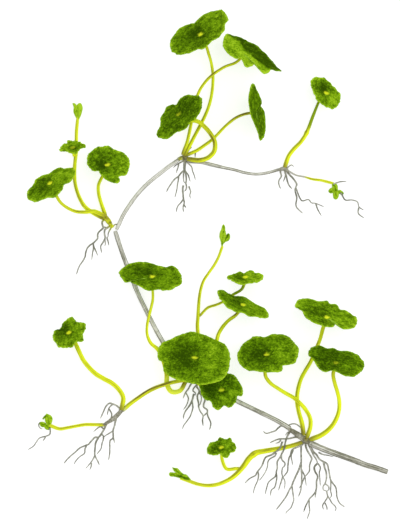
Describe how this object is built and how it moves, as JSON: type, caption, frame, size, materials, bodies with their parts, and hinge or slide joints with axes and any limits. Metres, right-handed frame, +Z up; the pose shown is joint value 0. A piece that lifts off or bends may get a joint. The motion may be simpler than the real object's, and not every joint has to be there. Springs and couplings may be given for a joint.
{
  "type": "whorled pennywort plant",
  "caption": "Picked water plant laid flat: a creeping rhizome joining rooted crowns, with round lobed leaves on long petioles, runners and young buds.",
  "frame": {"origin": "centre of the bounding box in plan, on the surface that the plant lies on", "axes": "+Z up from the surface; +Y runs along the plant's longest extent, from the roots of the oldest crown to the topmost leaf; +X runs towards the rhizome's cut end"},
  "size_m": [0.181, 0.255, 0.0317],
  "materials": {
    "leaf_green": "fresh leaf blade, soft satin, mid green and darker around the petiole joint",
    "leaf_light_green": "young folded leaf blade, light yellow-green with a dark fold",
    "stem_yellow": "fresh juicy petiole and runner, yellow-green, slightly glossy",
    "rhizome_grey": "old rhizome skin, pale grey with fine lengthwise lines, dull",
    "root_grey": "thin fibrous roots, grey, dull",
    "bud_green": "young folded leaves, light green, soft satin"
  },
  "bodies": {
    "root": {"bud_2": "bud_green", "bud_3": "bud_green", "bud_5": "bud_green", "bud_6": "bud_green", "bud_runner": "bud_green", "crown_1": "root_grey", "crown_2": "root_grey", "crown_3": "root_grey", "crown_4": "root_grey", "crown_5": "root_grey", "crown_6": "root_grey", "leaf_1_left": "leaf_green", "leaf_1_middle": "leaf_green", "leaf_1_right": "leaf_green", "leaf_2_left": "leaf_green", "leaf_2_low": "leaf_green", "leaf_2_middle": "leaf_green", "leaf_2_right": "leaf_green", "leaf_2_shoot": "leaf_green", "leaf_3_left": "leaf_green", "leaf_3_right": "leaf_green", "leaf_3_shoot": "leaf_green", "leaf_4_folded": "leaf_light_green", "leaf_4_left": "leaf_green", "leaf_4_right": "leaf_green", "leaf_4_top": "leaf_green", "leaf_5": "leaf_green", "leaf_6": "leaf_green", "leaf_runner": "leaf_green", "petiole_1_left": "stem_yellow", "petiole_1_middle": "stem_yellow", "petiole_1_right": "stem_yellow", "petiole_2_left": "stem_yellow", "petiole_2_low": "stem_yellow", "petiole_2_middle": "stem_yellow", "petiole_2_right": "stem_yellow", "petiole_2_shoot": "stem_yellow", "petiole_3_left": "stem_yellow", "petiole_3_right": "stem_yellow", "petiole_3_shoot": "stem_yellow", "petiole_4_folded": "stem_yellow", "petiole_4_left": "stem_yellow", "petiole_4_right": "stem_yellow", "petiole_4_top": "stem_yellow", "petiole_5": "stem_yellow", "petiole_6": "stem_yellow", "petiole_runner": "stem_yellow", "rhizome_1_cut_end": "rhizome_grey", "rhizome_2": "rhizome_grey", "rhizome_3": "rhizome_grey", "rhizome_4": "rhizome_grey", "rhizome_5": "rhizome_grey", "runner_1": "stem_yellow", "runner_5_tip": "stem_yellow", "runner_6": "stem_yellow", "runner_6_tip": "stem_yellow", "shoot_2": "stem_yellow", "shoot_3": "stem_yellow"}
  },
  "joints": []
}
